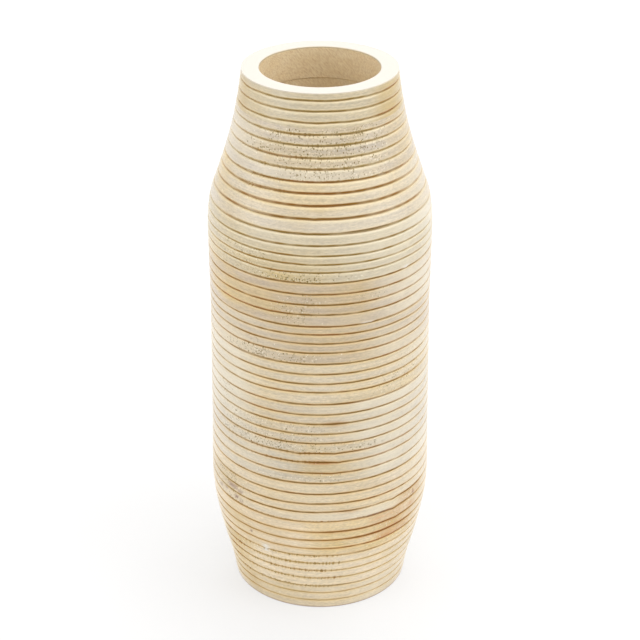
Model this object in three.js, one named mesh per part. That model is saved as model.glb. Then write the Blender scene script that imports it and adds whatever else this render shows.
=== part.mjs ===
// A tall turned wooden vase with a limewashed outside. Thirteen pieces of board, a solid base disc
// and twelve rings, are glued face to face and turned to one outline on the lathe. Millimetres,
// +Z up, origin at the centre of the underside.
//
// The joints are hidden in turned grooves, apart from the flush one under the rim ring, and three or
// four more grooves are cut in each ring, so the outside is a row of narrow flat lands. Every ring
// was bored before it was glued on, so the hollow is straight inside a ring and steps at some joints.
import * as THREE from "three";

// Grooves. On the body they are a small V. On the neck a square-nosed tool cut them wider and deeper.
// width is measured across the mouth of the groove, floor across its flat bottom.
const bodyGroove = { width: 1.3, depth: 1.1, floor: 0 };
const neckGroove = { width: 1.9, depth: 1.9, floor: 1.1 };

// The grooves are cut by eye, a little unevenly: about groovePitch apart from middle to middle.
const groovePitch = 7.0;
const footRadius = 57.8;

// The pieces from the bottom up. drift is how far each land of a piece departs from the pitch,
// upwards from its lower face, and its lands add up to its thickness. flare is how far the turned
// outline swells from the piece's lower face to its half height, and from there to its upper face.
// tone says how warm the board looks through the limewash, from 0 to 1.
const bodyPieces = [
  { name: "base_disc", drift: [-0.5, -0.25, -0.75], flare: [1.6, 2.1], tone: 0.5, solid: true },
  { name: "foot_ring", drift: [0.75, 0.25, -0.5, -0.25], flare: [3.8, 3.1], tone: 0.4 },
  { name: "body_ring_1", drift: [-0.5, 0, -0.25, 1.25], flare: [2.5, 1.2], tone: 0.6 },
  { name: "body_ring_2", drift: [0.25, -0.75, 0.25, 1], flare: [0.05, -0.25], tone: 0.15 },
  { name: "body_ring_3", drift: [0.5, 1, -0.5, 0.25], flare: [-0.3, -0.1], tone: 0.55 },
  { name: "body_ring_4", drift: [-0.25, 0.25, -0.25, 0.25], flare: [-0.1, -0.2], tone: 0.5 },
  { name: "body_ring_5", drift: [1.25, -0.75, -0.25, 0], flare: [-0.2, -0.15], tone: 0.1 },
  { name: "body_ring_6", drift: [0.75, -0.5, -0.75, -1.25], flare: [-0.1, 0.15], tone: 0.7 },
  { name: "body_ring_7", drift: [1, -0.25, 0.25, 0.5], flare: [0.2, 0.15], tone: 0.9 },
  { name: "shoulder_ring", drift: [0, -1.5, -1.5, -0.5, 0.25], flare: [-0.1, -1.95], tone: 0.4 },
];
const neckPieces = [
  { name: "lower_neck_ring", drift: [1.5, 0.5, 0, -0.5], flare: [-4.9, -4.9], tone: 0.2 },
  { name: "upper_neck_ring", drift: [0.25, -0.5, 0.25, -0.5, -3], flare: [-4.5, -3.3], tone: 0.6 },
];
const rimPieces = [
  { name: "rim_ring", drift: [-4, -0.25, -0.5, -2.25], flare: [-1.8, -1.4], tone: 0.4, flush: true },
];

// The wall that each ring's bore leaves at its narrower face, measured from the turned outline.
const bodyWall = 12.5;
const neckWall = 13.4;
const rimWall = 11.0;

// Eased edges, at the foot and round both sides of the rim.
const footChamfer = 0.8;
const rimChamfer = 0.6;

// Smoothness of the turned surfaces: flats round the full circle.
const turnedSides = 40;

// The stack: every piece with its kind of groove, the heights of its two faces and its bore's radius.
// stations are the heights and radii that the turned outline passes through.
const groups = [
  { pieces: bodyPieces, groove: bodyGroove, wall: bodyWall },
  { pieces: neckPieces, groove: neckGroove, wall: neckWall },
  { pieces: rimPieces, groove: neckGroove, wall: rimWall },
];
const stack = [];
const stations = [[0, footRadius]];
for (const { pieces, groove, wall } of groups) {
  for (const piece of pieces) {
    const [lower, lowerRadius] = stations[stations.length - 1];
    const lands = piece.drift.map((drift) => groovePitch + drift);
    const upper = lands.reduce((z, land) => z + land, lower);
    const middleRadius = lowerRadius + piece.flare[0];
    const upperRadius = middleRadius + piece.flare[1];
    const bore = piece.solid ? 0 : Math.min(lowerRadius, upperRadius) - wall;
    stations.push([(lower + upper) / 2, middleRadius], [upper, upperRadius]);
    stack.push({ ...piece, groove, lands, lower, upper, bore });
  }
}

// The turned outline is one smooth curve through the stations.
function slopeAt(i) {
  const [lowZ, lowRadius] = stations[Math.max(i - 1, 0)];
  const [highZ, highRadius] = stations[Math.min(i + 1, stations.length - 1)];
  return (highRadius - lowRadius) / (highZ - lowZ);
}

function outlineRadius(z) {
  const next = stations.findIndex(([stationZ]) => stationZ >= z);
  const i = Math.max(next - 1, 0);
  const [lowZ, lowRadius] = stations[i];
  const [highZ, highRadius] = stations[i + 1];
  const span = highZ - lowZ;
  const t = (z - lowZ) / span;
  const blend = t * t * (3 - 2 * t);
  const leaving = slopeAt(i) * span * t * (1 - t) * (1 - t);
  const arriving = slopeAt(i + 1) * span * t * t * (t - 1);
  return lowRadius * (1 - blend) + highRadius * blend + leaving + arriving;
}

// The section of a groove at one height. A joint shares its groove out: the piece below it has the
// lower wall, the piece above it the upper one, and both reach the middle of the floor.
function grooveAt(z, groove) {
  const floorRadius = outlineRadius(z) - groove.depth;
  const lowEdge = z - groove.width / 2;
  const highEdge = z + groove.width / 2;
  return {
    lowerWall: [[outlineRadius(lowEdge), lowEdge], [floorRadius, z - groove.floor / 2]],
    middle: [floorRadius, z],
    upperWall: [[floorRadius, z + groove.floor / 2], [outlineRadius(highEdge), highEdge]],
  };
}

// The outside of one piece, from its lower face up.
function lowerEnd(piece) {
  const { lower, groove, flush } = piece;
  if (lower === 0) return [[footRadius - footChamfer, 0], [outlineRadius(footChamfer), footChamfer]];
  if (flush) return [[outlineRadius(lower), lower]];
  const joint = grooveAt(lower, groove);
  return [joint.middle, ...joint.upperWall];
}

function upperEnd(piece, above) {
  const { upper } = piece;
  if (!above) {
    const eased = upper - rimChamfer;
    return [[outlineRadius(eased), eased], [outlineRadius(upper) - rimChamfer, upper]];
  }
  if (above.flush) return [[outlineRadius(upper), upper]];
  const joint = grooveAt(upper, above.groove);
  return [...joint.lowerWall, joint.middle];
}

function outside(piece, above) {
  const points = lowerEnd(piece);
  let z = piece.lower;
  for (const land of piece.lands.slice(0, -1)) {
    z += land;
    const cut = grooveAt(z, piece.groove);
    points.push(...cut.lowerWall, ...cut.upperWall);
  }
  return [...points, ...upperEnd(piece, above)];
}

// The inside of one piece, from its upper face down. The base disc closes on the axis instead.
function inside(piece, above) {
  const { bore, lower, upper } = piece;
  if (bore === 0) return [[0, upper]];
  if (above) return [[bore, upper], [bore, lower]];
  return [[bore + rimChamfer, upper], [bore, upper - rimChamfer], [bore, lower]];
}

// One piece as a solid of revolution. The lathe turns it about Y, and it is then stood up along Z.
function turned(piece, above) {
  const section = [...outside(piece, above), ...inside(piece, above)];
  section.unshift(piece.bore === 0 ? [0, piece.lower] : section[section.length - 1]);
  const distinct = section.filter(([radius, z], i) => {
    const [lastRadius, lastZ] = section[i - 1] ?? [];
    return radius !== lastRadius || z !== lastZ;
  });
  const profile = distinct.map(([radius, z]) => new THREE.Vector2(radius, z));
  return new THREE.LatheGeometry(profile, turnedSides).rotateX(Math.PI / 2);
}

// Each piece is cut from another board, so the wood differs a little in tone.
const paleBoard = new THREE.Color(0xe6d8b8);
const warmBoard = new THREE.Color(0xdcc79c);

const vase = new THREE.Group();
stack.forEach((piece, i) => {
  const wood = new THREE.MeshStandardMaterial({
    color: paleBoard.clone().lerp(warmBoard, piece.tone),
    roughness: 0.75,
    metalness: 0,
  });
  const mesh = new THREE.Mesh(turned(piece, stack[i + 1]), wood);
  mesh.name = piece.name;
  vase.add(mesh);
});

export default vase;
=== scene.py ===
"""A tall turned vase of limewashed mango wood: thirteen rounds of board, glued up, turned and grooved."""
import math

import bmesh
import bpy
import numpy as np
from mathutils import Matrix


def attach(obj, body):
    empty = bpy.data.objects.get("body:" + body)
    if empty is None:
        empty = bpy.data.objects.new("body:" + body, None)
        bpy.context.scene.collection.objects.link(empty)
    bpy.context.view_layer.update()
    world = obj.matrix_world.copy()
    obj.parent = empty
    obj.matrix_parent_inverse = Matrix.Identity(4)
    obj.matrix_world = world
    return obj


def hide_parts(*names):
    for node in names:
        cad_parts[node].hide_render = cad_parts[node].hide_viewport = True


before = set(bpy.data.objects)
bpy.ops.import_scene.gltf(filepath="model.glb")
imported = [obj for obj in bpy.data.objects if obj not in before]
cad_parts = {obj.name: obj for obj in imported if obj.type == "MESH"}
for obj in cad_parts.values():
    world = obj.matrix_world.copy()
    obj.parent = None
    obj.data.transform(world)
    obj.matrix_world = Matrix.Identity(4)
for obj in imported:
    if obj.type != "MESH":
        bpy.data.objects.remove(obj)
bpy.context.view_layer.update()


# The base disc is a solid round of mango board that closes the bottom, with its edge eased and its
# underside left bare. It is the first of the stack: the boards are glued up, the whole is turned to
# one template and grooved on the lathe, then limewashed and sanded back.

MM = 0.001

# The template: heights and radii in mm, from the middle of the underside to the top of the rim.
TOP = 360
TEMPLATE = np.array([
    (0, 57.8), (9.75, 59.4), (19.5, 61.5), (33.625, 65.3), (47.75, 68.4), (62, 70.9), (76.25, 72.1),
    (90.625, 72.14), (105, 71.9), (119.625, 71.6), (134.25, 71.5), (148.25, 71.4), (162.25, 71.2),
    (176.375, 71.0), (190.5, 70.85), (203.625, 70.75), (216.75, 70.9), (231.5, 71.1), (246.25, 71.25),
    (262.125, 71.15), (278, 69.2), (292.75, 64.3), (307.5, 59.4), (323.25, 54.9), (339, 51.6),
    (349.5, 49.8), (TOP, 48.4),
])


def outline(z):
    """Radius of the turned outline at a height, or at each height of an array."""
    heights, radii = TEMPLATE.T
    slopes = np.gradient(radii, heights)
    i = np.clip(np.searchsorted(heights, z) - 1, 0, len(heights) - 2)
    span = heights[i + 1] - heights[i]
    t = (z - heights[i]) / span
    blend = t * t * (3 - 2 * t)
    bend = slopes[i] * t * (1 - t) ** 2 + slopes[i + 1] * t * t * (t - 1)
    return radii[i] * (1 - blend) + radii[i + 1] * blend + span * bend


def groove_size(z):
    """Half width, depth and the rounding of the land below, for a groove at height z."""
    heights = (0, 55, 85, 262, 272, 280, 300, 312, TOP)
    half = np.interp(z, heights, (0.62, 0.62, 0.58, 0.58, 0.68, 0.8, 0.8, 0.66, 0.62))
    depth = np.interp(z, heights, (0.75, 0.8, 1.05, 1.05, 1.4, 1.8, 1.8, 1.7, 1.7))
    ledge = np.interp(z, heights, (0.6, 0.6, 0.75, 0.8, 1.0, 1.25, 1.25, 1.15, 1.1))
    return half, depth, ledge


def groove_rows(z):
    """One groove upwards, as rows of radius, height and how far the brown stain has soaked in."""
    half, depth, ledge = groove_size(z)

    # The land below ends in a rounded ledge. The cut has a steep lower wall, a flat floor, a steep
    # upper wall and a blunt lip. Each row is its height from the groove's middle, its depth and stain.
    turn = np.radians((0, 20, 38, 54, 66))
    ledge_rise = -half - ledge * (math.sin(turn[-1]) - np.sin(turn))
    ledge_rows = zip(ledge_rise, ledge * (1 - np.cos(turn)), (0, 0, 0.02, 0.06, 0.16))
    cut_rows = [
        (-0.86 * half, 0.7 * depth, 0.55), (-0.7 * half, depth, 1), (0, depth, 1), (0.8 * half, depth, 1),
        (0.93 * half, 0.6 * depth, 1), (1.02 * half, 0.14 * depth + 0.05, 0.85), (half + 0.3, 0.07, 0.35),
        (half + 0.75, 0, 0.05),
    ]
    rise, sink, stain = np.array([*ledge_rows, *cut_rows]).T
    return np.stack([outline(z + rise) - sink, z + rise, stain], axis=1)


def outside(low, high, cuts):
    """A piece's outer section from its lower face to its upper one; a joint lies in a groove's middle."""
    rows = np.concatenate([groove_rows(z) for z in cuts])
    rows = rows[(rows[:, 1] >= low) & (rows[:, 1] <= high)]
    rows = np.concatenate([rows, *[[(outline(z), z, 0.0)] for z in (low, high) if z not in cuts]])

    # The lands between the grooves get a row about every millimetre.
    spacing, least_gap = 0.95, 0.3
    half, _, ledge = groove_size(np.array(cuts))
    last = -math.inf
    for z in np.arange(low, high + 0.01, 0.25):
        away = z - np.array(cuts)
        on_land = not np.any((away > -half - ledge) & (away < half + 0.9))
        if on_land and z - last > spacing and np.min(np.abs(rows[:, 1] - z)) > least_gap:
            rows = np.concatenate([rows, [(outline(z), z, 0.0)]])
            last = z
    return rows[np.argsort(rows[:, 1], kind="stable")]


# Steps round the vase, the sectors that they are spun in, and the bend, in radians, at which an edge
# stays sharp.
STEPS = 600
SECTORS = 20
SHARP = 0.9


def turned(name, limed, bare):
    """Spins a closed section, given as limed outer rows and then bare rows, into a new piece."""
    shape = bmesh.new()
    stain_layer = shape.verts.layers.float.new("stain")
    bare_layer = shape.verts.layers.float.new("bare")
    section = []
    for rows, is_bare in ((limed, 0.0), (bare, 1.0)):
        for radius, height, stain in rows:
            vertex = shape.verts.new((0, -radius * MM, height * MM))
            vertex[stain_layer] = stain
            vertex[bare_layer] = is_bare
            section.append(vertex)
    sides = [shape.edges.new(pair) for pair in zip(section, section[1:])]
    if bare[-1][0] > 0:
        sides.append(shape.edges.new((section[-1], section[0])))

    # One sector is spun and then copied round, because a full spin in so many steps is very slow.
    axis = {"cent": (0, 0, 0), "axis": (0, 0, 1), "dvec": (0, 0, 0)}
    bmesh.ops.spin(shape, geom=section + sides, angle=math.tau / SECTORS, steps=STEPS // SECTORS, **axis)
    sector = shape.verts[:] + shape.edges[:] + shape.faces[:]
    copies = SECTORS - 1
    way_round = math.tau * copies / SECTORS
    bmesh.ops.spin(shape, geom=sector, angle=way_round, steps=copies, use_duplicate=True, **axis)
    bmesh.ops.remove_doubles(shape, verts=shape.verts, dist=0.001 * MM)
    bmesh.ops.recalc_face_normals(shape, faces=shape.faces)
    for edge in shape.edges:
        edge.smooth = edge.calc_face_angle(0) < SHARP
    for face in shape.faces:
        face.smooth = True
        face.material_index = int(all(v[bare_layer] > 0.5 for v in face.verts))
    mesh = bpy.data.meshes.new(name)
    shape.to_mesh(mesh)
    shape.free()
    piece = bpy.data.objects.new(name, mesh)
    bpy.context.collection.objects.link(piece)
    return piece


rng = np.random.default_rng(7)
COMPASS = np.arange(-180, 180, 360 / STEPS)


def waves(count, lowest, highest):
    """Random waves round the circle, one row for each of count grooves, about 1 high."""
    turns = np.arange(lowest, highest + 1)
    phases = rng.uniform(0, math.tau, (count, len(turns), 1))
    sizes = rng.normal(0, 1, (count, len(turns), 1)) / np.sqrt(turns[None, :, None])
    angle = np.radians(COMPASS)[None, None, :] * turns[None, :, None] + phases
    total = np.sum(sizes * np.sin(angle), axis=1)
    return total / total.std()


def patch(azimuth, height, low, high, left, right, strength, blur, fade):
    """How strongly one patch covers each point: fully inside, and half along its soft edges."""
    away = np.abs((azimuth - (left + right) / 2 + 180) % 360 - 180)
    level = np.clip((height - low) / blur + 0.5, 0, 1) * np.clip((high - height) / blur + 0.5, 0, 1)
    return strength * level * np.clip(((right - left) / 2 - away) / fade + 0.5, 0, 1)


# The marks are listed one by one, each by its lower and upper height, its left and right azimuth, in
# degrees to the right of the front, and its strength. Here is how soft each kind is, in mm up and in
# degrees round, and whether it comes out on the far side too, as open end grain does.
MARKS = {
    "pores": (0.6, 18, True), "torn": (0.8, 6, True), "warm": (3, 18, False), "cool": (3, 18, False),
    "dark": (3, 14, False), "white": (0.5, 3, False), "rust": (1.6, 7, False), "grey": (0.6, 1.2, False),
}


def marked(marks, azimuth, height):
    """How strongly each kind of mark covers each point."""
    notes = {kind: np.zeros(len(height)) for kind in MARKS}
    for kind, patches in marks.items():
        blur, fade, comes_out = MARKS[kind]
        turns = [(0, 1), (180, 0.8)] if comes_out else [(0, 1)]
        for low, high, left, right, strength in patches:
            for turn, share in turns:
                edges = low, high, left + turn, right + turn
                cover = patch(azimuth, height, *edges, strength * share, blur, fade)
                notes[kind] = np.maximum(notes[kind], cover)
    return notes


def hand_cut(piece, cuts, kinks, marks):
    """Works the unsteady hand into a spun piece, and notes on it where the finish is to change."""
    mesh = piece.data
    count = len(mesh.vertices)
    place = np.empty(count * 3)
    mesh.vertices.foreach_get("co", place)
    place = place.reshape(-1, 3) / MM
    stain, bare = np.empty(count), np.empty(count)
    mesh.attributes["stain"].data.foreach_get("value", stain)
    mesh.attributes["bare"].data.foreach_get("value", bare)
    radius = np.hypot(place[:, 0], place[:, 1])
    azimuth = np.degrees(np.arctan2(place[:, 0], -place[:, 1]))
    height = place[:, 2]
    column = np.round((azimuth + 180) / 360 * STEPS).astype(int) % STEPS
    side = 1 - np.abs(np.cos(np.radians(azimuth)))

    # The unsteadiness dies out in the last 3 mm at the foot and the rim, and the bore has none.
    ends = np.clip(height / 3, 0, 1) * np.clip((TOP - height) / 3, 0, 1)
    limed = (1 - bare) * ends

    # How far each point lies above the middle of its nearest groove and past the groove's edge, and how
    # near it is to that edge, from 1 on it to almost 0 a millimetre away.
    cuts = np.array(cuts)
    which = np.argmin(np.abs(height[:, None] - cuts[None, :]), axis=1)
    away = height - cuts[which]
    reach = np.abs(away) - groove_size(cuts[which])[0]
    edge = np.exp(-((reach / 0.5) ** 2)) * limed
    notes = marked(marks, azimuth, height)

    # The grooves wander by about 0.1 mm in slow and quick waves, and jump where the tool jumped. The
    # land up to 3.2 mm beside a groove follows it.
    wander = 0.11 * waves(len(cuts), 2, 12) + 0.035 * waves(len(cuts), 13, 60)
    for cut, middle, width, lift in kinks:
        off = (COMPASS - middle + 180) % 360 - 180
        wander[np.argmin(np.abs(cuts - cut))] += lift * np.exp(-np.abs(off / width) ** 1.3)
    follows = np.clip(1 - np.abs(away) / 3.2, 0, 1)

    # Nicks are small bits torn out of the grooves' edges, bigger where the grain was torn.
    nicks = np.maximum(waves(len(cuts), 100, 240) - 0.1, 0)
    nicks = nicks * np.clip(0.5 * waves(len(cuts), 6, 40) + 0.9, 0.2, 2)
    nicks = nicks[which, column] * (0.05 + 0.9 * notes["torn"])

    # The grooves are shallower at both sides and where thick lime fills them.
    sunk = outline(height) - radius
    sunk = np.where((limed > 0) & (sunk < 2.5), np.maximum(sunk, 0), 0)
    radius = radius + np.clip(0.7 * side + 0.8 * notes["white"], 0, 1) * sunk - 0.4 * edge * nicks
    height = height + wander[which, column] * limed * follows + 0.2 * edge * nicks * np.sign(away)
    place[:, 0] = radius * np.sin(np.radians(azimuth))
    place[:, 1] = -radius * np.cos(np.radians(azimuth))
    place[:, 2] = height
    mesh.vertices.foreach_set("co", (place * MM).ravel())

    # The brown wax is uneven, and the foot took less of it. Towards both sides it is made paler, which
    # paints in the glare that grazing light gives there.
    faded = 0.9 * side * np.interp(height, (0, 60, 110, 260, 330), (0, 0.2, 0.8, 0.8, 1))
    faded = faded + 0.1 * notes["cool"]
    thick = 1 + 0.22 * waves(len(cuts), 3, 50)[which, column] + 0.4 * np.minimum(notes["warm"], 1)
    thin = np.interp(height, (0, 45, 85, TOP), (0.45, 0.58, 0.9, 1))
    thick = thick * (1 - faded) * thin + 0.8 * notes["rust"]
    lost = np.maximum(notes["white"], 0.9 * notes["grey"])
    stain = stain * thick + (0.9 * notes["torn"] * nicks + 0.9 * notes["rust"]) * edge
    notes["stain"] = np.clip(stain, 0, 1) * (1 - lost)

    # How far a point lies under or over its groove, in mm, for the wear beside it. 9 is out of reach.
    beside = np.clip(reach, 0, 9)
    notes["under"] = np.where(away < 0, beside + 0.8 * side, 9.0)
    notes["over"] = np.where(away > 0, beside + 0.8 * side, 9.0)
    notes["edge"] = np.exp(-((beside / 0.8) ** 2))
    for name, values in notes.items():
        note = mesh.attributes.get(name) or mesh.attributes.new(name, "FLOAT", "POINT")
        note.data.foreach_set("value", values.astype(np.float32))
    mesh.update()


def linear(code):
    """An sRGB hex colour as linear RGBA."""
    channels = [int(code[i:i + 2], 16) / 255 for i in (0, 2, 4)]
    return (*[c / 12.92 if c <= 0.04045 else ((c + 0.055) / 1.055) ** 2.4 for c in channels], 1.0)


def add(tree, kind, sockets, **settings):
    """Adds a node with its settings, and links or sets its sockets, by name or by place."""
    node = tree.nodes.new("ShaderNode" + kind)
    for name, value in settings.items():
        setattr(node, name, value)
    shown = [socket for socket in node.inputs if socket.enabled]
    for key, value in sockets.items():
        socket = shown[key] if isinstance(key, int) else next(s for s in shown if s.name == key)
        if isinstance(value, bpy.types.Node):
            value = next(output for output in value.outputs if output.enabled)
        if isinstance(value, bpy.types.NodeSocket):
            tree.links.new(value, socket)
        else:
            socket.default_value = value
    return node


# Limewashed mango, turned and sanded back: chalky, with a soft sheen that shows most towards the sides.
# The lime is white in the flats and worn to honey beside the grooves, where brown wax has stayed.
limed_mango = bpy.data.materials.new("limewashed_mango_turned")
limed_mango.use_nodes = True
wash = limed_mango.node_tree
wash.nodes.clear()

place = add(wash, "TexCoord", {}).outputs["Object"]
fibres = add(wash, "Attribute", {}, attribute_name="fibres").outputs["Fac"]
shift = add(wash, "Attribute", {}, attribute_name="shift").outputs["Vector"]
along = add(wash, "VectorRotate", {"Vector": place, "Angle": fibres}, rotation_type="Z_AXIS")
board = add(wash, "VectorMath", {0: along, 1: shift}, operation="ADD")

# Growth rings 7 mm apart, and vessel streaks 0.9 mm apart and 25 mm long, both along the fibres.
rings_place = add(wash, "Mapping", {"Vector": board, "Scale": (140, 9, 140)})
figure = add(wash, "TexNoise", {"Vector": rings_place, "Scale": 1.0, "Detail": 4.0, "Roughness": 0.55})
streak_place = add(wash, "Mapping", {"Vector": board, "Scale": (1100, 40, 1100)})
streaks = add(wash, "TexNoise", {"Vector": streak_place, "Scale": 1.0, "Detail": 2.0, "Roughness": 0.6})

# Turning marks 1.1 mm apart round the vase, lime clouds 38 mm wide, and mottling 0.8 mm high and
# 2.8 mm wide.
brush_place = add(wash, "Mapping", {"Vector": place, "Scale": (25, 25, 900)})
brushing = add(wash, "TexNoise", {"Vector": brush_place, "Scale": 1.0, "Detail": 3.0, "Roughness": 0.6})
cloud_place = add(wash, "Mapping", {"Vector": place, "Scale": (26, 26, 60)})
clouds = add(wash, "TexNoise", {"Vector": cloud_place, "Scale": 1.0, "Detail": 5.0, "Roughness": 0.6})
mottle_place = add(wash, "Mapping", {"Vector": place, "Scale": (360, 360, 1250)})
mottling = add(wash, "TexNoise", {"Vector": mottle_place, "Scale": 1.0, "Detail": 2.0, "Roughness": 0.7})

# Pores are 0.2 mm wide. They are drawn coarser, 0.4 to 0.8 mm wide and 0.7 to 1 mm apart, to show:
# as dots where the fibres end and as dashes where they run along.
pores_here = add(wash, "Attribute", {}, attribute_name="pores").outputs["Fac"]
torn_here = add(wash, "Attribute", {}, attribute_name="torn").outputs["Fac"]
edge_here = add(wash, "Attribute", {}, attribute_name="edge").outputs["Fac"]
pore_place = add(wash, "Mapping", {"Vector": board, "Scale": (1350, 130, 1050)})
cells = add(wash, "TexVoronoi", {"Vector": pore_place, "Scale": 1.0}, feature="F1")
lots = add(wash, "SeparateColor", {"Color": cells.outputs["Color"]})
bunches = add(wash, "TexNoise", {"Vector": place, "Scale": 210.0, "Detail": 2.0, "Roughness": 0.6})
bunched = add(wash, "MapRange", {"Value": bunches, "From Min": 0.36, "From Max": 0.6,
                                 "To Min": 0.5, "To Max": 0.85})
open_share = add(wash, "Math", {0: pores_here, 1: bunched}, operation="MULTIPLY")
torn_share = add(wash, "Math", {0: torn_here, 1: edge_here}, operation="MULTIPLY")
torn_share = add(wash, "Math", {0: torn_share, 1: 0.45}, operation="MULTIPLY")
share = add(wash, "Math", {0: open_share, 1: torn_share}, operation="MAXIMUM")
share = add(wash, "Math", {0: share, 1: 0.001}, operation="ADD")
spare = add(wash, "Math", {0: share, 1: lots.outputs["Red"]}, operation="SUBTRACT", use_clamp=True)
opened = add(wash, "Math", {0: spare, 1: 2.2}, operation="MULTIPLY", use_clamp=True)
width = add(wash, "Math", {0: lots.outputs["Green"], 1: 0.28, 2: 0.27}, operation="MULTIPLY_ADD")
dot_edge = add(wash, "Math", {0: width, 1: 0.12}, operation="ADD")
dots = add(wash, "MapRange", {"Value": cells.outputs["Distance"], "From Min": width,
                              "From Max": dot_edge, "To Min": 1.0, "To Max": 0.0})
pores = add(wash, "Math", {0: dots, 1: opened}, operation="MULTIPLY")
filled_share = add(wash, "Math", {0: share, 1: -0.3, 2: 1.0}, operation="MULTIPLY_ADD")
filled = add(wash, "Math", {0: lots.outputs["Blue"], 1: filled_share}, operation="GREATER_THAN")
limed_dots = add(wash, "Math", {0: dots, 1: filled}, operation="MULTIPLY")

# How far the lime is worn off: more beside the grooves, least in the middle of a land.
under = add(wash, "Attribute", {}, attribute_name="under").outputs["Fac"]
over = add(wash, "Attribute", {}, attribute_name="over").outputs["Fac"]
warm_here = add(wash, "Attribute", {}, attribute_name="warm").outputs["Fac"]
under_fall = add(wash, "Math", {0: under, 1: -1.6}, operation="MULTIPLY")
under_worn = add(wash, "Math", {0: under_fall}, operation="EXPONENT")
over_fall = add(wash, "Math", {0: over, 1: -2.0}, operation="MULTIPLY")
over_worn = add(wash, "Math", {0: over_fall}, operation="EXPONENT")
beside = add(wash, "Math", {0: under_worn, 1: 0.45}, operation="MULTIPLY")
beside = add(wash, "Math", {0: over_worn, 1: 0.55, 2: beside}, operation="MULTIPLY_ADD")
cloudy = add(wash, "MapRange", {"Value": clouds, "From Min": 0.35, "From Max": 0.7, "To Max": 0.32})
worn = add(wash, "Math", {0: beside, 1: cloudy}, operation="ADD")
patchy = add(wash, "MapRange", {"Value": clouds, "From Min": 0.35, "From Max": 0.65,
                                "To Min": 0.4, "To Max": 1.15})
warm_part = add(wash, "Math", {0: warm_here, 1: patchy}, operation="MULTIPLY")
worn = add(wash, "Math", {0: warm_part, 1: 0.55, 2: worn}, operation="MULTIPLY_ADD", use_clamp=True)

honey = add(wash, "Mix", {"Factor": figure, "A": linear("E8CE8A"), "B": linear("D4B264")}, data_type="RGBA")
lime = add(wash, "Attribute", {}, attribute_name="lime").outputs["Color"]
coat = add(wash, "Mix", {"Factor": worn, "A": lime, "B": honey}, data_type="RGBA")
streaky = add(wash, "MapRange", {"Value": streaks, "From Min": 0.45, "From Max": 0.75, "To Max": 0.3})
coat = add(wash, "Mix", {"Factor": streaky, "A": coat, "B": linear("CDB58C")}, data_type="RGBA")
brushed = add(wash, "MapRange", {"Value": brushing, "From Min": 0.3, "From Max": 0.7,
                                 "To Min": 0.87, "To Max": 1.1})
coat = add(wash, "VectorMath", {0: coat, "Scale": brushed}, operation="SCALE")
mottled = add(wash, "MapRange", {"Value": mottling, "From Min": 0.3, "From Max": 0.7,
                                 "To Min": 0.84, "To Max": 1.14})
coat = add(wash, "VectorMath", {0: coat, "Scale": mottled}, operation="SCALE")

# Sanding has cut through the lime on the rounded ledge under each groove, and less so on the land's
# edge above it. The wood shows there, cream on the neck and honey on the body. This cream is also a
# painted highlight: the ledge is made as light as it looks facing the lamp above, and the land's edge
# above the groove gets a light painted band.
ledge = add(wash, "MapRange", {"Value": under, "From Min": 0.1, "From Max": 1.7,
                               "To Min": 1.0, "To Max": 0.0})
lip = add(wash, "MapRange", {"Value": over, "From Min": 0.6, "From Max": 1.6, "To Min": 0.6, "To Max": 0.0})
cream_and_highlight = add(wash, "Math", {0: ledge, 1: lip}, operation="MAXIMUM")
cream_and_highlight = add(wash, "Math", {0: cream_and_highlight, 1: 0.62}, operation="MULTIPLY")
ledge_wood_and_highlight = add(wash, "Attribute", {}, attribute_name="ledge_wood_and_highlight").outputs["Color"]
coat = add(wash, "Mix", {"Factor": cream_and_highlight, "A": coat, "B": ledge_wood_and_highlight}, data_type="RGBA")

# Marks of this one vase: cooler and darker patches, thick white lime, purplish-grey smudges, a grey
# line round the bottom edge that is painted shade where the vase meets the floor, and a rust-brown
# stain low down.
cool_here = add(wash, "Attribute", {}, attribute_name="cool").outputs["Fac"]
cool_part = add(wash, "Math", {0: cool_here, 1: patchy}, operation="MULTIPLY")
cool_part = add(wash, "Math", {0: cool_part, 1: 0.6}, operation="MULTIPLY", use_clamp=True)
coat = add(wash, "Mix", {"Factor": cool_part, "A": coat, "B": linear("E8E0CC")}, data_type="RGBA")
dark_here = add(wash, "Attribute", {}, attribute_name="dark").outputs["Fac"]
dark_part = add(wash, "Math", {0: dark_here, 1: patchy}, operation="MULTIPLY")
dark_part = add(wash, "Math", {0: dark_part, 1: 0.6}, operation="MULTIPLY", use_clamp=True)
coat = add(wash, "Mix", {"Factor": dark_part, "A": coat, "B": linear("BCA26A")}, data_type="RGBA")
white_here = add(wash, "Attribute", {}, attribute_name="white").outputs["Fac"]
coat = add(wash, "Mix", {"Factor": white_here, "A": coat, "B": linear("E6DFD2")}, data_type="RGBA")
grey_here = add(wash, "Attribute", {}, attribute_name="grey").outputs["Fac"]
coat = add(wash, "Mix", {"Factor": grey_here, "A": coat, "B": linear("82585C")}, data_type="RGBA")
rust_here = add(wash, "Attribute", {}, attribute_name="rust").outputs["Fac"]
rust_streaks = add(wash, "MapRange", {"Value": brushing, "From Min": 0.38, "From Max": 0.62,
                                      "To Min": 0.2, "To Max": 1.2})
rust_part = add(wash, "Math", {0: rust_here, 1: patchy}, operation="MULTIPLY")
rust_part = add(wash, "Math", {0: rust_part, 1: rust_streaks}, operation="MULTIPLY", use_clamp=True)
coat = add(wash, "Mix", {"Factor": rust_part, "A": coat, "B": linear("BE7436")}, data_type="RGBA")

# Open pores show the brown wood in their depth, and filled ones a dot of lime.
pore_part = add(wash, "Math", {0: pores, 1: 0.95}, operation="MULTIPLY")
coat = add(wash, "Mix", {"Factor": pore_part, "A": coat, "B": linear("7C6836")}, data_type="RGBA")
filled_part = add(wash, "Math", {0: limed_dots, 1: 0.5}, operation="MULTIPLY")
coat = add(wash, "Mix", {"Factor": filled_part, "A": coat, "B": linear("F6EDD8")}, data_type="RGBA")

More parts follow.
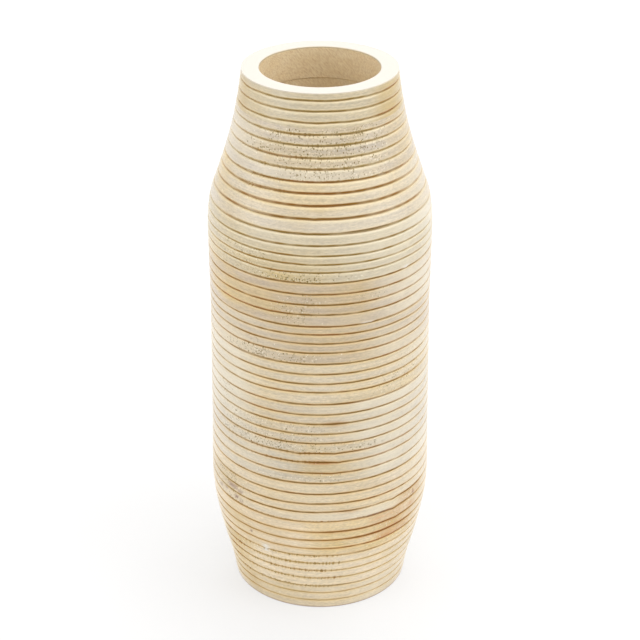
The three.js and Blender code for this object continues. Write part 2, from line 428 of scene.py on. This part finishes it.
# The wax in the grooves turns from brown to orange in places, most where the wood is worn warm.
groove_wax = add(wash, "Attribute", {}, attribute_name="groove_wax").outputs["Color"]
stain_here = add(wash, "Attribute", {}, attribute_name="stain").outputs["Fac"]
wax_place = add(wash, "Mapping", {"Vector": place, "Scale": (22, 22, 60)})
wax_clouds = add(wash, "TexNoise", {"Vector": wax_place, "Scale": 1.0, "Detail": 3.0})
orange = add(wash, "MapRange", {"Value": wax_clouds, "From Min": 0.5, "From Max": 0.7, "To Max": 0.5})
orange = add(wash, "Math", {0: warm_part, 1: 0.6, 2: orange}, operation="MULTIPLY_ADD", use_clamp=True)
wax = add(wash, "Mix", {"Factor": orange, "A": groove_wax, "B": linear("A8682A")}, data_type="RGBA")
rusty = add(wash, "Math", {0: rust_here, 1: 0.6}, operation="MULTIPLY", use_clamp=True)
wax = add(wash, "Mix", {"Factor": rusty, "A": wax, "B": linear("8E602C")}, data_type="RGBA")
stain_part = add(wash, "Math", {0: stain_here, 1: 0.95}, operation="MULTIPLY")
coat = add(wash, "Mix", {"Factor": stain_part, "A": coat, "B": wax}, data_type="RGBA")

# The relief is slight: coarser where pores are open, sunk in each pore, and lined by the turning
# marks and the streaks. The lime has a soft sheen, which wax, wear, pores and stains take away.
relief = add(wash, "Math", {0: mottling, 1: open_share}, operation="MULTIPLY")
relief = add(wash, "Math", {0: pores, 1: -0.6, 2: relief}, operation="MULTIPLY_ADD")
relief = add(wash, "Math", {0: brushing, 1: 0.25, 2: relief}, operation="MULTIPLY_ADD")
relief = add(wash, "Math", {0: streaks, 1: 0.2, 2: relief}, operation="MULTIPLY_ADD")
bumps = add(wash, "Bump", {"Height": relief, "Distance": 0.00025, "Strength": 0.8})
rough = add(wash, "Math", {0: worn, 1: -0.08, 2: 0.46}, operation="MULTIPLY_ADD")
dull = add(wash, "Math", {0: pores, 1: rusty}, operation="MAXIMUM")
dull = add(wash, "Math", {0: dull, 1: grey_here}, operation="MAXIMUM")
waxed = add(wash, "Math", {0: stain_here, 1: 0.5}, operation="MULTIPLY")
waxed = add(wash, "Math", {0: warm_here, 1: 0.25, 2: waxed}, operation="MULTIPLY_ADD", use_clamp=True)
dull = add(wash, "Math", {0: dull, 1: waxed}, operation="MAXIMUM")
gloss = add(wash, "Math", {0: dull, 1: -0.7, 2: 0.7}, operation="MULTIPLY_ADD")
shine = add(wash, "Math", {0: gloss, 1: 0.55}, operation="MULTIPLY")
chalky = add(wash, "BsdfPrincipled", {
    "Base Color": coat, "Roughness": rough, "Normal": bumps, "IOR": 1.5, "Specular IOR Level": shine,
    "Coat Weight": gloss, "Coat Roughness": 0.32, "Coat IOR": 1.55,
    "Sheen Weight": 0.15, "Sheen Roughness": 0.3, "Sheen Tint": linear("FFFFFF"),
})
add(wash, "OutputMaterial", {"Surface": chalky})


# Bare mango, bored and rough sanded before the glue-up: pale, with slanting sanding marks 0.6 mm apart
# and 2.4 mm long across a faint grain.
bare_mango = bpy.data.materials.new("bare_mango_bored")
bare_mango.use_nodes = True
raw = bare_mango.node_tree
raw.nodes.clear()
place = add(raw, "TexCoord", {}).outputs["Object"]
grain_place = add(raw, "Mapping", {"Vector": place, "Scale": (14, 160, 160)})
grain = add(raw, "TexNoise", {"Vector": grain_place, "Scale": 1.0, "Detail": 3.0})
slant = add(raw, "VectorRotate", {"Vector": place, "Angle": math.radians(38)}, rotation_type="Y_AXIS")
mark_place = add(raw, "Mapping", {"Vector": slant, "Scale": (1700, 900, 420)})
sanding = add(raw, "TexNoise", {"Vector": mark_place, "Scale": 1.0, "Detail": 2.0})
wood = add(raw, "Mix", {"Factor": grain, "A": linear("FCEDCC"), "B": linear("F2DBAE")}, data_type="RGBA")
sanding_part = add(raw, "MapRange", {"Value": sanding, "From Min": 0.35, "From Max": 0.75, "To Max": 0.6})
wood = add(raw, "Mix", {"Factor": sanding_part, "A": wood, "B": linear("C9A575")}, data_type="RGBA")
scratches = add(raw, "Bump", {"Height": sanding, "Distance": 0.0002, "Strength": 0.6})
sanded = add(raw, "BsdfPrincipled", {
    "Base Color": wood, "Roughness": 0.7, "Normal": scratches, "IOR": 1.5, "Specular IOR Level": 0.4,
})
add(raw, "OutputMaterial", {"Surface": sanded})


def finished(piece, cuts, fibres, lime, wax, ledge, marks, kinks=()):
    """Hand cuts a piece, gives it its two finishes, and puts it in its CAD piece's place."""
    hand_cut(piece, cuts, kinks, marks)
    mesh = piece.data
    count = len(mesh.vertices)
    direction = np.full(count, -math.radians(fibres))
    mesh.attributes.new("fibres", "FLOAT", "POINT").data.foreach_set("value", direction)
    offset = np.tile(rng.uniform(0, 1, 3), count)
    mesh.attributes.new("shift", "FLOAT_VECTOR", "POINT").data.foreach_set("vector", offset)
    # The ledge colour is the wood on the ledges and also their painted highlight.
    for note, code in (("lime", lime), ("groove_wax", wax), ("ledge_wood_and_highlight", ledge)):
        colours = np.tile(linear(code), count)
        mesh.attributes.new(note, "FLOAT_COLOR", "POINT").data.foreach_set("color", colours)
    mesh.materials.append(limed_mango)
    mesh.materials.append(bare_mango)
    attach(piece, "root")
    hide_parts(piece.name.removesuffix("_turned"))


def arc(radius, height, size, start, stop):
    """Rows round an eased edge of the given size, between two angles in quarter turns."""
    angles = np.linspace(start, stop, 5) * math.pi / 2
    return np.stack([radius + size * np.cos(angles), height + size * np.sin(angles), 0 * angles], axis=1)


disc_top, ease = 19.5, 0.8
disc_cuts = [6.5, 13.25, disc_top]
side = outside(0, disc_top, disc_cuts)
side = side[side[:, 1] > ease + 0.2]

# The eased edge takes most of the brown stain, a painted shade line where the vase meets the floor.
eased = arc(outline(ease) - ease, ease, ease, -1, 0)
eased[:, 2] = 0.8
rounds = (50, 30, 12, 0)
faces = [(radius, disc_top, 0) for radius in rounds] + [(radius, 0, 0) for radius in reversed(rounds)]
disc = turned("base_disc_turned", np.concatenate([eased, side]), faces)
finished(
    disc, disc_cuts, fibres=40, lime="E0D1B6", wax="C0A060", ledge="ECD6A8",
    marks={
        "pores": [(8, 19, -30, -5, 0.15)],
        "torn": [(17, 22, -65, 12, 0.8)],
        "warm": [(3, 20, -74, -46, 1.4)],
        "cool": [(12, 20, -10, 16, 0.3), (3, 20, -110, -76, 1.3), (3, 20, 76, 110, 1.3),
                 (0, 20, 22, 62, 0.4)],
        "dark": [(0, 20, -76, -40, 1.1), (0, 20, -62, -6, 0.55), (0, 20, 46, 80, 0.5)],
        # The grey line round the bottom edge is painted shade where the vase meets the floor.
        "grey": [(-2, 0.7, -200, 200, 0.9)],
    },
)


# The rings of the foot, body and shoulder are rounds of board, each bored to leave about 12 mm of
# wall before it is glued on. Their boards lie with their fibres in different directions and take the
# lime differently.


def bored_ring(name, low, high, cuts, bore, **finish):
    """Makes a ring between two heights. Its finish says which azimuth its fibres point to, its colours,
    its marks, and its kinks: the groove, azimuth, width in degrees and lift in mm of each."""
    wall = [(bore, high + (low - high) * step / 10, 0) for step in range(11)]
    ring = turned(name + "_turned", outside(low, high, cuts), wall)
    finished(ring, cuts, **finish)


bored_ring(
    "foot_ring", low=19.5, high=47.75, cuts=[19.5, 27.25, 34.5, 41, 47.75], bore=49.0,
    fibres=-20, lime="E9D8BC", wax="C0A060", ledge="ECD6A8",
    marks={
        "pores": [(20, 48, -70, -20, 0.25)],
        "torn": [(18, 49, -65, 12, 1.0)],
        "warm": [(20, 48, -74, -45, 2.0)],
        "cool": [(20, 44, -8, 18, 0.2), (20, 48, -110, -70, 1.6), (20, 48, 76, 110, 1.3)],
        "dark": [(20, 48, -72, -42, 0.8), (20, 48, -50, -10, 0.2), (20, 46, 42, 80, 0.9)],
        "white": [(45.3, 50, -32.6, -29.6, 1)],
    },
)
bored_ring(
    "body_ring_1", low=47.75, high=76.25, cuts=[47.75, 54.25, 61.25, 68, 76.25], bore=55.9,
    fibres=60, lime="E7D4B6", wax="B48A42", ledge="E6C894",
    kinks=[(61.25, 205, 3, -0.4), (68, 43, 3, -0.6), (76.25, 42, 3, -1.2)],
    marks={
        "pores": [(50, 76, 34, 62, 0.25)],
        "warm": [(48, 68, -4, 62, 1.2), (68, 76, 0, 62, 0.6), (48, 76, -66, -40, 0.4)],
        "cool": [(48, 61, -26, 0, 0.2), (48, 62, -110, -74, 1), (48, 62, 72, 110, 1)],
        "dark": [(56, 77, 30, 58, 0.3), (48, 76, -78, -20, 0.7), (48, 76, 52, 84, 0.65)],
        "white": [(46, 51, -32.6, -29.6, 1), (47.7, 49.3, -34, -28.4, 1)],
        "rust": [(68.5, 76, 28, 52, 0.45), (61.5, 68, 34, 60, 0.4), (54.5, 61, 32, 56, 0.55),
                 (60.4, 62.2, 16, 54, 1.0), (67.2, 68.8, 2, 60, 0.6), (69.3, 73.3, 52, 59, 0.75),
                 (64, 67, 47, 55, 0.45), (64, 76, 50, 64, 0.1)],
        "grey": [(57.3, 59, -40.4, -39.2, 1.0), (75.6, 76.9, 15, 42, 0.35),
                 (75.6, 76.9, 25, 42, 0.65)],
    },
)
bored_ring(
    "body_ring_2", low=76.25, high=105, cuts=[76.25, 83.5, 89.75, 97, 105], bore=59.4,
    fibres=-62, lime="DBCBB0", wax="A37D36", ledge="E6CA98",
    kinks=[(83.5, 41, 3, -0.8), (76.25, 42, 3, -1.2), (97, 47, 3, -0.4), (105, 6.5, 2.5, -0.3)],
    marks={
        "pores": [(76, 97, -72, -44, 0.6), (76.25, 83.5, 48, 62, 0.6)],
        "torn": [(74, 79, -60, 30, 0.4)],
        "warm": [(84, 97, -32, 0, 0.2), (84, 100, 8, 16, 0.4), (76, 84, 46, 70, 0.8)],
        "cool": [(76, 105, -20, 6, 0.25), (84, 105, 40, 84, 0.4), (76, 83.5, -8, 42, 0.7)],
        "dark": [(76, 99, -86, -44, 0.7), (82, 92, -66, -48, 0.8)],
        "rust": [(75, 77.5, 40, 60, 0.7), (77, 83.5, 47, 66, 0.5), (81.5, 83.3, 12, 20, 0.5)],
        "grey": [(85.4, 88.8, -56, -48, 0.45), (86.4, 88, -54, -51, 0.6), (84.6, 87, -48, -44, 0.4),
                 (79.2, 81.4, -50.2, -47.8, 0.7), (77.5, 80, -47, -44, 0.3),
                 (79.2, 81.4, -66, -62, 0.4), (81, 82.6, -59, -57, 0.5), (77.5, 78.5, -76, -72, 0.5),
                 (75.6, 76.9, 15, 42, 0.35), (75.6, 76.9, 25, 42, 0.65), (78, 80, 57, 59, 0.8)],
    },
)
bored_ring(
    "body_ring_3", low=105, high=134.25, cuts=[105, 112.5, 120.5, 127, 134.25], bore=59.0,
    fibres=-35, lime="CCC1AE", wax="A37D36", ledge="E6CA98",
    kinks=[(127, -10.9, 3.2, -0.75), (127, 7.4, 2.6, -0.6), (127, -2, 5, 0.25), (120.5, -13, 4, -0.35),
           (120.5, 9.5, 2.4, -0.65), (120.5, 0, 6, 0.2), (112.5, 6.2, 2.2, -0.5),
           (105, 6.5, 2.5, -0.3), (120.5, 54, 3, -0.5), (127, 140, 3, -0.6), (120.5, 146, 3, 0.5)],
    marks={
        "pores": [(127, 134.25, -60, -14, 0.8), (127, 134.25, -14, 34, 0.5), (105, 112, -34, 16, 0.3)],
        "torn": [(118, 129, -60, 0, 0.5), (104, 107, -60, -20, 0.4)],
        "warm": [(110, 134, -15, 6, 0.4)],
        "cool": [(105, 134, 24, 84, 0.85), (105, 134, -68, -24, 0.4)],
        "dark": [(112, 121, -14, 9, 0.5)],
        "rust": [(119, 122, -6, 6, 0.6)],
    },
)
bored_ring(
    "body_ring_4", low=134.25, high=162.25, cuts=[134.25, 141, 148.25, 155, 162.25], bore=58.7,
    fibres=-25, lime="CBBEA9", wax="A37D36", ledge="E8CE98",
    kinks=[(148.25, 44, 3.5, 0.35)],
    marks={
        "pores": [(134.25, 148.25, -60, 2, 0.45), (148.25, 162.25, -66, -48, 0.4)],
        "cool": [(134, 163, -80, -40, 0.9), (130, 163, 14, 84, 0.95), (155, 162, -5, 30, 0.45)],
        "rust": [(147, 150, 3, 12, 0.7)],
    },
)
bored_ring(
    "body_ring_5", low=162.25, high=190.5, cuts=[162.25, 170.5, 176.75, 183.5, 190.5], bore=58.35,
    fibres=48, lime="D6C8AF", wax="A37D36", ledge="E8CE98",
    marks={
        "pores": [(176.75, 190.5, 34, 62, 0.3), (162.25, 176.75, 30, 66, 0.4)],
        "warm": [(162, 172, 30, 62, 0.2)],
        "cool": [(162, 191, -80, -38, 0.85), (176, 191, 40, 84, 0.5), (170, 190, -10, 15, 0.2)],
        "dark": [(162, 190, 36, 60, 0.1)],
    },
)
bored_ring(
    "body_ring_6", low=190.5, high=216.75, cuts=[190.5, 198.25, 204.75, 211, 216.75], bore=58.35,
    fibres=-30, lime="C3B29A", wax="A0782E", ledge="E8CC98",
    kinks=[(204.75, -150, 4, 0.5)],
    marks={
        "pores": [(190.5, 198.25, -56, -4, 0.7), (190.5, 198.25, -40, -22, 0.9),
                  (190.5, 198.25, 12, 20, 0.4), (198.25, 204.75, -38, -30, 0.4)],
        "warm": [(205, 217, -40, 20, 0.2), (190, 217, -76, -26, 0.15)],
        "cool": [(190, 217, 26, 74, 0.6), (190, 217, -80, -22, 0.6), (190, 200, -80, -50, 0.6),
                 (190, 216, 62, 82, 0.4)],
    },
)
bored_ring(
    "body_ring_7", low=216.75, high=246.25, cuts=[216.75, 224.75, 231.5, 238.75, 246.25], bore=58.4,
    fibres=-5, lime="C1B09D", wax="9A7226", ledge="E8CC98",
    marks={
        "pores": [(231.5, 238.75, -16, 4, 0.5), (231.5, 238.75, 20, 36, 0.4),
                  (224.75, 231.5, -26, -2, 0.6), (216.75, 224.75, -22, -4, 0.6)],
        "warm": [(222, 246, -74, -45, 0.9), (222, 246, -50, -16, 0.35), (228, 246, 14, 38, 0.3),
                 (217, 246, 32, 84, 0.6)],
        "cool": [(217, 224.75, -12, 42, 0.35), (217, 246, 30, 78, 1.3)],
        "dark": [(217, 246, -60, 30, 0.3)],
        "white": [(216, 218, 21, 28, 0.7)],
    },
)
bored_ring(
    "shoulder_ring", low=246.25, high=278, cuts=[246.25, 253.25, 258.75, 264.25, 270.75, 278], bore=56.7,
    fibres=-50, lime="C9BCA0", wax="A4822E", ledge="F8ECCA",
    marks={
        "pores": [(253.25, 264.25, -70, -24, 0.5), (246.25, 253.25, -70, -30, 0.4),
                  (246.25, 253.25, -32, 8, 0.7), (246.25, 253.25, 8, 30, 0.3),
                  (247.2, 249.8, -32, 4, 1.3), (253.25, 258.75, -12, 8, 0.35)],
        "torn": [(246, 250, -25, -4, 1)],
        "warm": [(246, 259, -74, -30, 0.55), (246, 253, -28, -15, 1.2)],
        "cool": [(246, 264, 36, 84, 0.6), (263, 278, 36, 84, 1.1), (246, 278, 8, 56, 0.8),
                 (269, 278, -40, 60, 0.5)],
        "dark": [(246, 262, -34, 18, 0.4)],
        "white": [(246.2, 248, 46, 50, 1)],
    },
)


# The two rings of the neck are thicker-walled boards whose fibres end at the front, so their pores
# show as dots there. A square-nosed tool cut the neck's grooves, wide and deep, with a rounded ledge
# under each. The upper ring meets the rim ring flush, with no groove.
bored_ring(
    "lower_neck_ring", low=278, high=307.5, cuts=[278, 286.5, 294, 301, 307.5], bore=46.0,
    fibres=-8, lime="D0C3AD", wax="A27414", ledge="F0DEB0",
    kinks=[(286.5, -3, 2, -0.3)],
    marks={
        "pores": [(278, 286.5, -54, -36, 0.2), (286.5, 294, -62, -38, 0.25)],
        "torn": [(296, 310, -50, -20, 0.5)],
        "warm": [(286, 308, -84, -68, 0.8), (290, 307, -10, 48, 0.3)],
        "cool": [(278, 308, 10, 48, 0.4), (280, 307, 50, 84, 0.4), (278, 286.5, -6, 52, 0.6),
                 (278, 286.5, -40, -6, 0.25)],
        "dark": [(286, 308, -84, -42, 0.1)],
    },
)
bored_ring(
    "upper_neck_ring", low=307.5, high=339, cuts=[307.5, 314.75, 321.25, 328.5, 335], bore=37.8,
    fibres=4, lime="C6B9A6", wax="B89B58", ledge="F4E7C4",
    marks={
        "pores": [(307.5, 314.75, -30, 46, 0.5), (307.5, 314.75, -14, 12, 0.65),
                  (314.75, 321.25, -30, 44, 0.6), (321.25, 328.5, -56, 46, 0.62),
                  (321.25, 328.5, -22, 28, 0.8), (328.5, 335, -42, 48, 0.65),
                  (328.5, 335, -10, 24, 0.8), (335, 339, -28, 54, 0.6)],
        "torn": [(307, 336, -62, 30, 0.45)],
        "warm": [(315, 340, 54, 84, 0.45)],
        "cool": [(307, 315, -70, 30, 0.6), (308, 336, -80, -44, 0.6)],
        "dark": [(315, 330, -42, -28, 0.35), (328, 339, 12, 28, 0.4), (315, 332, 56, 78, 0.1)],
    },
)


# The rim ring goes round the mouth. Its flat top and eased edges carry the thickest lime. Its lower
# joint shows inside as a thin dark line, because its bore is a little smaller than the one below.
rim_low, rim_radius, mouth = 339, 48.4, 37.4
rim_cuts = [335, 342, 348.75, 355.25]
side = outside(rim_low, TOP, rim_cuts)
side = side[side[:, 1] < TOP - 0.5]
ease_out, ease_in = 0.35, 0.7
eased_out = arc(rim_radius - ease_out, TOP - ease_out, ease_out, 0, 1)
top = [(radius, TOP, 0) for radius in (46.5, 44.5, 42.5, 40.5, 39)]
eased_in = arc(mouth + ease_in, TOP - ease_in, ease_in, 1, 2)
wall = [(mouth, z, 0) for z in (359, 357, 354, 351, 348, 345, 342, 339.5, 339.3)]
seam = [(mouth + 0.2, rim_low, 0)]
rim = turned("rim_ring_turned", np.concatenate([side, eased_out, top, eased_in]), wall + seam)
finished(
    rim, rim_cuts, fibres=88, lime="C6BAA0", wax="B89B58", ledge="F4E7C4",
    marks={
        "warm": [(338, 359, 50, 84, 0.9), (338, 359, -84, -66, 0.7)],
        "cool": [(345, 359, -38, -20, 0.4)],
        "dark": [(338, 359, 40, 80, 1.1), (338, 359, -84, -60, 1.0), (338, 359, -62, -34, 0.25)],
        "white": [(359.7, 361, -200, 200, 1)],
    },
)


# The floor is a sweep of white paper. To the camera it stays white and keeps the vase's soft shadow,
# and round a point just in front of the foot its glow is lowered, a painted soft shadow.
floor_shape = bmesh.new()
bmesh.ops.create_circle(floor_shape, cap_ends=True, segments=96, radius=6.0)
floor_mesh = bpy.data.meshes.new("floor")
floor_shape.to_mesh(floor_mesh)
floor_shape.free()
floor = bpy.data.objects.new("floor", floor_mesh)
bpy.context.collection.objects.link(floor)
white_paper = bpy.data.materials.new("white_paper_sweep")
white_paper.use_nodes = True
paper = white_paper.node_tree
paper.nodes.clear()
ray = add(paper, "LightPath", {}).outputs
to_camera, in_gloss = ray["Is Camera Ray"], ray["Is Glossy Ray"]
seen = add(paper, "Math", {0: to_camera, 1: in_gloss}, operation="MAXIMUM")
spot = add(paper, "TexCoord", {}).outputs["Object"]
shadow_middle = (-0.02, -0.08, 0)
away = add(paper, "VectorMath", {0: spot, 1: shadow_middle}, operation="DISTANCE")
# The glow is lowest round this point: a painted soft shadow in front of the foot.
near = add(paper, "MapRange", {"Value": away, "From Min": 0.02, "From Max": 0.14,
                               "To Min": 0.615, "To Max": 0.7})
far = add(paper, "MapRange", {"Value": away, "From Min": 0.14, "From Max": 1.0, "To Max": 0.16})
lift = add(paper, "Math", {0: near, 1: far}, operation="ADD")
glow_part = add(paper, "Math", {0: to_camera, 1: lift}, operation="MULTIPLY")
glow_part = add(paper, "Math", {0: in_gloss, 1: 1.05, 2: glow_part}, operation="MULTIPLY_ADD")
tint = add(paper, "Mix", {"Factor": seen, "A": linear("F1F1F1"), "B": linear("979797")}, data_type="RGBA")
matt = add(paper, "BsdfDiffuse", {"Color": tint})
glow = add(paper, "Emission", {"Color": linear("FFFFFF"), "Strength": glow_part})
both = add(paper, "AddShader", {0: matt, 1: glow})
add(paper, "OutputMaterial", {"Surface": both})
floor.data.materials.append(white_paper)


# Soft studio light: a big softbox overhead, one at each side, a little in front, and a white room.
# The room looks brighter to the camera and in the gloss than it lights the vase.
room = bpy.data.worlds.new("white_room")
bpy.context.scene.world = room
room.use_nodes = True
air = room.node_tree
air.nodes.clear()
ray = add(air, "LightPath", {}).outputs
to_camera, in_gloss = ray["Is Camera Ray"], ray["Is Glossy Ray"]
strength = add(air, "Math", {0: to_camera, 1: 0.48, 2: 0.55}, operation="MULTIPLY_ADD")
strength = add(air, "Math", {0: in_gloss, 1: 0.8, 2: strength}, operation="MULTIPLY_ADD")
sky = add(air, "Background", {"Color": linear("FFFFFF"), "Strength": strength})
add(air, "OutputWorld", {"Surface": sky})

for name, spot, turn, size, watts in [
    ("softbox_above", (0.35, -0.28, 2.2), (7, 9, 0), 2.0, 23.6),
    ("softbox_left", (-2.1, -0.7, 1.0), (0, -70, 18), 1.6, 15.4),
    ("softbox_right", (2.1, -0.65, 1.3), (0, 64, -17), 1.6, 15.8),
]:
    lamp = bpy.data.lights.new(name, "AREA")
    lamp.shape = "SQUARE"
    lamp.size = size
    lamp.energy = watts
    holder = bpy.data.objects.new(name, lamp)
    holder.location = spot
    holder.rotation_euler = [math.radians(angle) for angle in turn]
    bpy.context.collection.objects.link(holder)


# The camera stands about 1.27 m away and looks down on the vase at 26.8 degrees.
looking_down = 26.804
camera = bpy.data.cameras.new("camera")
camera.sensor_width = 36
camera.lens = 109.55
tripod = bpy.data.objects.new("camera", camera)
tripod.location = (0, -1.1333, 0.7585)
tripod.rotation_euler = (math.radians(90 - looking_down), 0, 0)
bpy.context.collection.objects.link(tripod)
bpy.context.scene.camera = tripod
bpy.context.scene.view_settings.view_transform = "Standard"
